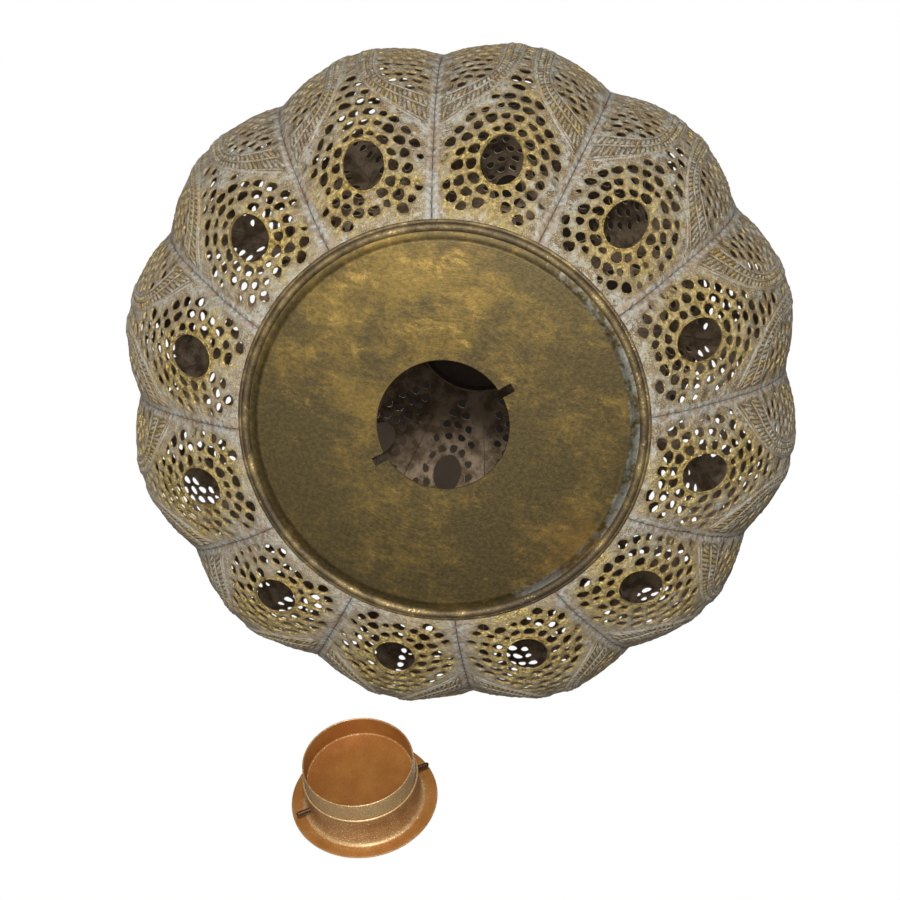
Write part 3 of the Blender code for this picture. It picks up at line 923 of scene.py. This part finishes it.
def gore(number):
    """One pierced and chased panel, with its half of the solder at each seam."""
    rng = random.Random(100 + number)
    piercing = Piercing(rng)
    for eye in EYES:
        piercing.eye(eye)
    for eye in EYES:
        piercing.rings(eye)
    piercing.crest_row()
    piercing.lenses()
    points, edges, outline_count, ring_of = sheet_layout(piercing)
    flat, _, faces, origin, _, _ = delaunay_2d_cdt([Vector(point) for point in points], edges, [], 1, 1e-7)
    hole_of = np.full(len(points), -1)
    for hole, (first, size) in enumerate(ring_of):
        hole_of[first : first + size] = hole
    first_of = [-1] * len(points)
    owner = [-1] * len(flat)
    for index, came in enumerate(origin):
        for old in came:
            first_of[old] = index
        if came:
            owner[index] = hole_of[came[0]]
    faces = [face for face in faces if owner[face[0]] < 0 or len({owner[corner] for corner in face}) > 1]
    u, v = np.array([tuple(point) for point in flat]).T
    count = len(flat)
    away = half_width(v) - np.abs(u)
    dents = hammered(skin(u, v, np.zeros(count)), number) * unit(away / DENT_FADE)
    from_hole = hole_distance(u, v, piercing.spans)
    ends = unit(np.minimum(v - V_LOW, V_HIGH - v) / SWELL_FADE)
    swell = SWELL * (1.0 - np.exp(-((from_hole / SWELL_REACH) ** 2))) * unit(away / SWELL_FADE) * ends
    seam = unit(1.15 - away / seam_width(v)) ** 0.6
    places = []
    marks = {name: [] for name in ("wear", "deposit", "inside", "grime", "edge")}

    def lay(added, **given):
        """Adds points with their marks, and tells their numbers."""
        start = sum(map(len, places))
        places.append(added)
        for name, values in marks.items():
            values.append(np.broadcast_to(given.get(name, 0.0), len(added)))
        return list(range(start, start + len(added)))

    lay(
        skin(u, v, dents + swell + solder(u, v, away, number)),
        wear=0.12 + 0.42 * eye_glow(u, v) - 0.25 * seam,
        deposit=0.95 * seam,
        grime=np.maximum(band_cover(u, v), unit(1.0 - away / CRACK)),
        # The edge mark is painted shade, darker on the sheet by each hole's edge.
        edge=np.exp(-((from_hole / EDGE_REACH) ** 2)),
    )
    lay(skin(u, v, dents - SHEET), inside=1.0)
    all_faces = [tuple(face) for face in faces]
    all_faces += [tuple(count + corner for corner in reversed(face)) for face in faces]

    def wall(*rings):
        """Joins rings of points, each to the next."""
        for one, other in zip(rings, rings[1:]):
            for i in range(len(one)):
                after = (i + 1) % len(one)
                all_faces.append((one[i], one[after], other[after], other[i]))

    outline = first_of[:outline_count]
    wall(outline, [count + i for i in outline])
    for hole, (first, size) in zip(piercing.holes, ring_of):
        ring = first_of[first : first + size]
        across, along = hole.T
        # Each hole's rim is painted brighter brass under the wear mark: partly worn edges, partly a painted
        # highlight.
        worn_and_highlit_rim = 0.55 + 0.40 * eye_glow(across, along)
        upper = lay(skin(across, along, dents[ring] - BURR_TOP), wear=worn_and_highlit_rim)
        lower = lay(skin(across, along, dents[ring] - (SHEET + BURR_BELOW)), wear=0.5 * worn_and_highlit_rim, inside=0.9)
        wall(ring, upper, lower, [count + i for i in ring])
    relief = Relief(sum(map(len, places)))
    chase_bands(relief, rng)
    for eye in EYES:
        relief.bead(eye, 1.10)
    across, along, height = np.array(relief.places).T
    lifts = height + hammered(skin(across, along, np.zeros(len(height))), number)
    lifts[band_cover(across, along) > 0.0] += SWELL
    grime = unit(1.0 - height / GRIME_HEIGHT)
    lay(skin(across, along, lifts), wear=relief.wear, deposit=relief.deposit, grime=grime)
    mesh = bpy.data.meshes.new("pierced_panel")
    mesh.from_pydata(np.concatenate(places).tolist(), [], all_faces + relief.faces)
    for name, values in marks.items():
        paint(mesh, name, np.concatenate(values))
    tidy(mesh, 50.0, merge=False)
    turn = Matrix.Rotation(FIRST_CREST + LOBE_STEP * number, 4, "Z")
    mesh.transform(Matrix.Translation((0.0, 0.0, EQUATOR_Z)) @ turn)
    name = f"gore_{number + 1:02d}"
    add_piece("pierced_" + name, mesh, PIERCED_BRASS, "pierced_brass", "shell", name)


for number in range(LOBE_COUNT):
    gore(number)


# Base plate and rim


def base_plate():
    """The dished plate, with the tray's hole and the two notches cut in its edge."""
    low = PLATE_Z
    step = PLATE_Z + PLATE_STEP
    profile = [
        *steps_from(PLATE_RADIUS + PLATE_TUCK, step, (0.0, PLATE_SHEET), (0.0, 0.0)),
        (PLATE_RADIUS - 0.0014, step - 0.0002),
        *steps_from(PLATE_FLAT_RADIUS, low, (0.0012, 0.0010), (0.0003, 0.0002), (-0.0006, 0.0)),
        *steps_from(HOLE_RADIUS, low, (0.0003, 0.0), (0.0, 0.0003), (0.0, PLATE_SHEET)),
        (PLATE_FLAT_RADIUS - 0.0006, low + PLATE_SHEET),
        (PLATE_RADIUS - 0.0018, step + PLATE_SHEET),
    ]
    mesh = turned_mesh("plate_sheet", profile, ROUND_STEPS)
    plate = add_piece("plate_sheet", mesh, PLATE_BRASS, "plate_brass", "shell", "base_plate")
    for number in range(2):
        mesh = bpy.data.meshes.new("notch")
        bm = bmesh.new()
        bmesh.ops.create_cube(bm, size=1.0)
        bmesh.ops.scale(bm, vec=(2 * NOTCH_DEPTH, NOTCH_WIDTH, 10 * PLATE_SHEET), verts=bm.verts)
        bmesh.ops.translate(bm, vec=(HOLE_RADIUS, 0.0, low), verts=bm.verts)
        bmesh.ops.rotate(bm, matrix=Matrix.Rotation(NOTCH_ANGLE + math.pi * number, 3, "Z"), verts=bm.verts)
        bm.to_mesh(mesh)
        bm.free()
        notch = linked("notch", mesh)
        cut = plate.modifiers.new("notch", "BOOLEAN")
        cut.operation = "DIFFERENCE"
        cut.object = notch
        cut.solver = "EXACT"
        graph = bpy.context.evaluated_depsgraph_get()
        done = bpy.data.meshes.new_from_object(plate.evaluated_get(graph), depsgraph=graph)
        plate.modifiers.clear()
        plate.data = done
        bpy.data.objects.remove(notch)
    plate.data.name = "plate_sheet"
    smooth(plate.data)


def base_rim():
    """The rolled rim and the solder fillet between it and the panels."""
    middle = PLATE_Z + RIM_LIFT
    rim = round_bar(RIM_RADIUS, middle, RIM_WIRE, RIM_WIRE, 20)
    fillet = round_bar(0.1150, middle + 0.0012, 0.0016, 0.0014, 20)
    bars = [turned_mesh("rim", rim, ROUND_STEPS), turned_mesh("fillet", fillet, ROUND_STEPS)]
    mesh = joined("rolled_rim", bars)
    add_piece("rolled_rim", mesh, RIM_BRASS, "rim_brass", "shell", "base_rim")


base_plate()
base_rim()


# Crown


def crown_pieces():
    """The collar, the cap that lies on it and the loop's washer."""
    low = EQUATOR_Z + PANEL_TOP - 0.006
    high = low + 0.010
    inner = COLLAR_RADIUS - COLLAR_WALL
    collar = [
        *steps_from(COLLAR_RADIUS, high, (-0.0002, 0.0, 0.0), (0.0, -0.0002, 0.0)),
        *steps_from(COLLAR_RADIUS, low, (0.0, 0.0002, 0.0), (-0.0002, 0.0, 0.3)),
        (inner + 0.0002, low, 1.0),
        (inner, low + 0.0002, 1.0),
        (inner, high, 1.0),
    ]
    mesh = turned_mesh("crown_collar", collar, TRAY_STEPS, mark="inside")
    add_piece("crown_collar", mesh, FITTING_BRASS, "fitting_brass", "shell", "top_collar")
    top = EQUATOR_Z + CAP_TOP
    skirt = COLLAR_RADIUS + 0.0004
    outer = skirt + CAP_SHEET
    brim = outer + 0.0072
    cap = [(BOLT_HOLE, top, 0.0)]
    for share in np.linspace(0.0, 1.0, 25):
        radius = 0.012 + share * (outer - 0.012)
        ridge = 0.00035 * max(0.0, math.sin(share * math.tau * 5.0)) ** 2
        cap.append((radius, top - 0.0009 - 0.0141 * share**2.1 + ridge, 0.0))
    edge = ((0.0001, 0.0165), (0.0008, 0.0176), (0.0024, 0.0180))
    cap += [(outer + out, top - down, 0.0) for out, down in edge]
    rolled = ((-0.0010, -0.0182, 0.0), (-0.0002, -0.0186, 0.0), (0.0, -0.0190, 0.0), (-0.0004, -0.0193, 0.5))
    cap += steps_from(brim, top, *rolled)
    under = ((skirt + 0.0010, 0.0189), (skirt + 0.0002, 0.0180), (skirt, 0.0160))
    under += ((0.0342, 0.0112), (0.0254, 0.0062), (0.0138, 0.0025), (BOLT_HOLE, CAP_SHEET))
    cap += [(radius, top - down, 1.0) for radius, down in under]
    mesh = turned_mesh("crown_dome", cap, TRAY_STEPS, mark="inside")
    add_piece("crown_dome", mesh, FITTING_BRASS, "fitting_brass", "shell", "crown_cap")
    low = top + 0.0003
    high = low + WASHER_THICKNESS
    washer = steps_from(WASHER_RADIUS, high, (-0.0006, 0.0), (-0.0002, -0.0002), (0.0, -0.0005))
    washer += steps_from(WASHER_RADIUS, low, (0.0, 0.0002), (-0.0002, 0.0))
    washer += [(BOLT_HOLE, low), (BOLT_HOLE, high - 0.0002), (BOLT_HOLE + 0.0002, high)]
    mesh = turned_mesh("washer_disc", washer, 64)
    add_piece("washer_disc", mesh, FITTING_BRASS, "fitting_brass", "shell", "loop_washer")


def loop_eye():
    """The wire loop and its shank, which has a thread's grooves below the cap."""
    wire = round_bar(LOOP_RADIUS, 0.0, LOOP_WIRE, LOOP_WIRE, 16)
    upright = Matrix.Translation((0.0, 0.0, LOOP_MIDDLE)) @ Matrix.Rotation(math.pi / 2, 4, "X")
    ring = turned_mesh("loop_wire", wire, 72, upright)
    joint = LOOP_MIDDLE - LOOP_RADIUS
    thread_top = EQUATOR_Z + CAP_TOP - 0.0015
    shank = [(0.0, joint), (SHANK_RADIUS, joint), (SHANK_RADIUS, thread_top)]
    for number in range(int((thread_top - SHANK_LOW) / THREAD_PITCH) - 1):
        high = thread_top - THREAD_PITCH * number
        groove = (SHANK_RADIUS - 0.00035, high - THREAD_PITCH / 2)
        shank += [groove, (SHANK_RADIUS, high - THREAD_PITCH)]
    shank += [(SHANK_RADIUS - 0.0006, SHANK_LOW), (0.0, SHANK_LOW)]
    mesh = joined("loop_eye", [ring, turned_mesh("loop_shank", shank, 32, closed=False)])
    add_piece("loop_eye", mesh, FITTING_BRASS, "fitting_brass", "shell", "hanging_loop")


crown_pieces()
loop_eye()
nut = frame["nodes"]["loop_nut"]
nut.data.materials.clear()
nut.data.materials.append(FITTING_BRASS)


# Tray, built standing in the base plate's hole and carried back to where it waits

SWING = JOINTS["tray_swing"]
SWING_POINT = Vector(SWING["pos_m"])
REST_TURN = -math.radians(JOINTS["tray_turn"]["range_deg"][0])
CARRY = Matrix.Rotation(-math.radians(SWING["range_deg"][1]), 4, Vector(SWING["axis"]))
HOME = Matrix.Translation((0.0, 0.0, FLANGE_Z)) @ Matrix.Rotation(NOTCH_ANGLE + REST_TURN, 4, "Z")
TRAY_PLACE = Matrix.Translation(SWING_POINT) @ CARRY @ Matrix.Translation(-SWING_POINT) @ HOME


def tray_ring():
    """The flange, the neck and the lip round the shelf that holds the pan."""
    inner = NECK_RADIUS - TRAY_WALL
    lip_inner = LIP_RADIUS - 0.0010
    # The third numbers are the rubbed mark: real rubbing on the neck and flange, and painted highlights, 1.1
    # to 1.3 along the lip's top, up to 0.7 round the neck's foot and 0.5 to 0.6 on the flange's edge.
    lip = ((-0.0006, 0.0, 1.1), (-0.0002, -0.0002, 1.3), (0.0, -0.0005, 1.0), (-0.0001, -0.0010, 0.6))
    neck = ((0.0001, 0.0155, 0.30), (0.0, 0.0120, 0.35), (0.0, 0.0080, 0.40), (0.0002, 0.0045, 0.45))
    foot = ((0.0007, 0.0028, 0.50), (0.0014, 0.0019, 0.7), (0.0022, 0.0014, 0.6), (0.0030, 0.0012, 0.15))
    flange = ((-0.0030, 0.0012, 0.05), (-0.0006, 0.0012, 0.10), (-0.0001, 0.0010, 0.5), (0.0, 0.0006, 0.6))
    profile = [
        *steps_from(LIP_RADIUS, LIP_HEIGHT, *lip, (-0.0003, -0.0018, 0.5)),
        *steps_from(NECK_RADIUS, 0.0, (0.0002, LIP_HEIGHT - 0.0036, 0.45), *neck, *foot),
        *steps_from(FLANGE_RADIUS, 0.0, *flange, (-0.0004, 0.0, 0.3)),
        *steps_from(inner, 0.0, (0.0014, 0.0, 0.2), (0.0003, 0.0016, 0.2), (0.0, 0.0095, 0.1)),
        (inner + 0.0002, 0.0140, 0.1),
        (inner + 0.0007, SHELF_HEIGHT - 0.0010, 0.1),
        (SHELF_RADIUS, SHELF_HEIGHT - 0.0010, 0.1),
        (SHELF_RADIUS, SHELF_HEIGHT, 0.1),
        (lip_inner - 0.0003, SHELF_HEIGHT, 0.1),
        (lip_inner, SHELF_HEIGHT + 0.0008, 0.1),
        (lip_inner, LIP_HEIGHT - 0.0002, 0.6),
    ]
    mesh = turned_mesh("flanged_ring", profile, TRAY_STEPS, TRAY_PLACE, mark="rubbed")
    add_piece("flanged_ring", mesh, TRAY_PAINT, "tray_paint", "locking_ring", "tray_ring")


def tray_pan():
    """The cup that a candle stands in."""
    floor = PAN_LOW + PAN_WALL
    inner = PAN_RADIUS - PAN_WALL
    # The corner's marks of 0.35 to 0.40 paint a highlight round the pan's floor; the others are real rubbing.
    corner = ((-0.0012, 0.0, 0.05), (-0.0008, 0.0001, 0.35), (-0.0003, 0.0003, 0.40), (-0.0001, 0.0007, 0.1))
    brim = ((0.0, -0.0010, 0.1), (0.0002, -0.0002, 0.5), (0.0005, 0.0, 0.5))
    profile = [
        (0.0, floor, 0.0),
        *steps_from(inner, floor, (-0.0100, 0.0, 0.0), *corner, (0.0, 0.0014, 0.0)),
        *steps_from(inner, PAN_RIM_HEIGHT, *brim),
        *steps_from(PAN_RADIUS, PAN_RIM_HEIGHT, (-0.0001, -0.0002, 0.7), (0.0, -0.0008, 1.0)),
        (PAN_RADIUS, 0.0290, 1.0),
        (PAN_RADIUS, 0.0245, 0.9),
        *steps_from(PAN_RADIUS, PAN_LOW, (0.0, 0.0008, 0.7), (-0.0008, 0.0, 0.2)),
        (0.0, PAN_LOW, 0.1),
    ]
    mesh = turned_mesh("pan_cup", profile, TRAY_STEPS, TRAY_PLACE, closed=False, mark="rubbed")
    add_piece("pan_cup", mesh, TRAY_PAINT, "tray_paint", "pan", "tray_pan")


def tray_pin(side, node):
    """A short round pin through the neck, with a rounded end."""
    profile = [(0.0, PIN_INNER), (PIN_RADIUS, PIN_INNER)]
    for narrower, shorter in ((0.0001, 0.0012), (0.0003, 0.0006), (0.0007, 0.0002), (PIN_RADIUS, 0.0)):
        profile.append((PIN_RADIUS - narrower, PIN_OUTER - shorter))
    lying = Matrix.Translation((0.0, 0.0, PIN_HEIGHT)) @ Matrix.Rotation(side * math.pi / 2, 4, "Y")
    mesh = turned_mesh("round_pin", profile, 24, TRAY_PLACE @ lying, closed=False)
    add_piece("round" + node[4:], mesh, PIN_STEEL, "pin_steel", "locking_ring", node)


tray_ring()
tray_pan()
tray_pin(1, "tray_pin_a")
tray_pin(-1, "tray_pin_b")


# Camera, light and surroundings

BODY_MIDDLE = Vector((0.0, 0.0, EQUATOR_Z))
CAMERA_RIGHT = Vector((-0.9743, 0.2037, 0.0956)).normalized()
CAMERA_UP = Vector((0.2223, 0.9377, 0.2671)).normalized()
CAMERA_BACK = CAMERA_RIGHT.cross(CAMERA_UP)
CAMERA_AWAY = 1.8
CAMERA_ASIDE = -0.0064
CAMERA_BELOW = -0.0427


def seen_from(right, up, back):
    """A step given along the camera's axes."""
    return CAMERA_RIGHT * right + CAMERA_UP * up + CAMERA_BACK * back


camera = linked("camera", bpy.data.cameras.new("camera"))
camera.data.lens = 121.5
camera.data.sensor_width = 36.0
camera.data.clip_start = 0.05
camera.data.clip_end = 100.0
camera.matrix_world = Matrix((CAMERA_RIGHT, CAMERA_UP, CAMERA_BACK)).transposed().to_4x4()
camera.location = BODY_MIDDLE + seen_from(CAMERA_ASIDE, CAMERA_BELOW, CAMERA_AWAY)
bpy.context.scene.camera = camera


def soft_light(name, right, up, back, size, watts):
    """A square soft box at a place given along the camera's axes, from the body's middle, facing it."""
    lamp = bpy.data.lights.new(name, "AREA")
    lamp.shape = "SQUARE"
    lamp.size = size
    lamp.energy = watts
    box = linked(name, lamp)
    reach = seen_from(right, up, back)
    box.location = BODY_MIDDLE + reach
    box.rotation_mode = "QUATERNION"
    box.rotation_quaternion = reach.to_track_quat("Z", "Y")


soft_light("key", -0.055, 0.30, 1.85, 0.22, 38.5)
soft_light("fill", -0.7, -0.5, 2.2, 1.6, 16.5)
soft_light("crown_fill", 0.6, 1.4, -1.8, 1.6, 4.0)

# Wide soft light from straight above, for the crown and the floor.
overhead = linked("overhead", bpy.data.lights.new("overhead", "SUN"))
overhead.data.energy = 0.9
overhead.data.angle = math.radians(60.0)

# White surroundings for the camera, and dim ones for everything else.
world = bpy.data.worlds.new("studio")
world.use_nodes = True
bpy.context.scene.world = world
nodes, links = world.node_tree.nodes, world.node_tree.links
level = nodes.new("ShaderNodeMapRange")
level.inputs["To Min"].default_value = 0.14
level.inputs["To Max"].default_value = 1.0
links.new(nodes.new("ShaderNodeLightPath").outputs["Is Camera Ray"], level.inputs["Value"])
links.new(level.outputs["Result"], nodes["Background"].inputs["Strength"])
nodes["Background"].inputs["Color"].default_value = (1.0, 1.0, 1.0, 1.0)

# A dull card hung far behind the crown, hidden by the lantern. It shows dark through the holes: painted
# shade, standing in for the shadowed surroundings behind the crown.
CARD_AWAY = 30.0
CARD_RADIUS = 2.12
CARD_RIGHT = 0.395
CARD_UP = 1.48
CARD_DARK_TO = -1.35
CARD_LIT_FROM = -1.60
card_finish = Finish("painted_shade_card")
card_shade = card_finish.noise(6.0, 4.0)
# Painted light below, painted shadow above: the card's lower part is lighter, as if lit through the base
# hole.
card_lit = card_finish.spread(card_finish.axes()[1], CARD_DARK_TO, CARD_LIT_FROM)
card_painted_light_and_shade = card_finish.blend(card_shade, (0.15, 0.105, 0.070), (0.24, 0.180, 0.125))
card_painted_light_and_shade = card_finish.blend(card_lit, (0.045, 0.032, 0.024), card_painted_light_and_shade)
card_mesh = bpy.data.meshes.new("painted_shade_card")
bm = bmesh.new()
bmesh.ops.create_circle(bm, cap_ends=True, radius=CARD_RADIUS, segments=64)
bm.to_mesh(card_mesh)
bm.free()
card_mesh.materials.append(card_finish.finish(card_painted_light_and_shade, 0.9, 0.0, card_shade, 0.001))
painted_shade_card = linked("painted_shade_card", card_mesh)
sight = seen_from(CARD_RIGHT, CARD_UP, -CARD_AWAY)
painted_shade_card.location = camera.location + sight
painted_shade_card.rotation_mode = "QUATERNION"
painted_shade_card.rotation_quaternion = sight.to_track_quat("Z", "Y")

FLOOR_Z = -3.4
FLOOR_REACH = 20.0
floor_mesh = bpy.data.meshes.new("floor")
corners = [(x * FLOOR_REACH, y * FLOOR_REACH, FLOOR_Z) for x, y in ((-1, -1), (1, -1), (1, 1), (-1, 1))]
floor_mesh.from_pydata(corners, [], [(0, 1, 2, 3)])
floor_finish = Finish("floor_paper")
speckle = floor_finish.noise(8.0, 4.0)
floor_colour = floor_finish.blend(speckle, (0.80, 0.80, 0.79), (0.84, 0.84, 0.83))
floor_mesh.materials.append(floor_finish.finish(floor_colour, 0.8, 0.0, speckle, 0.001))
floor = linked("floor", floor_mesh)

bpy.context.scene.view_settings.view_transform = "Standard"
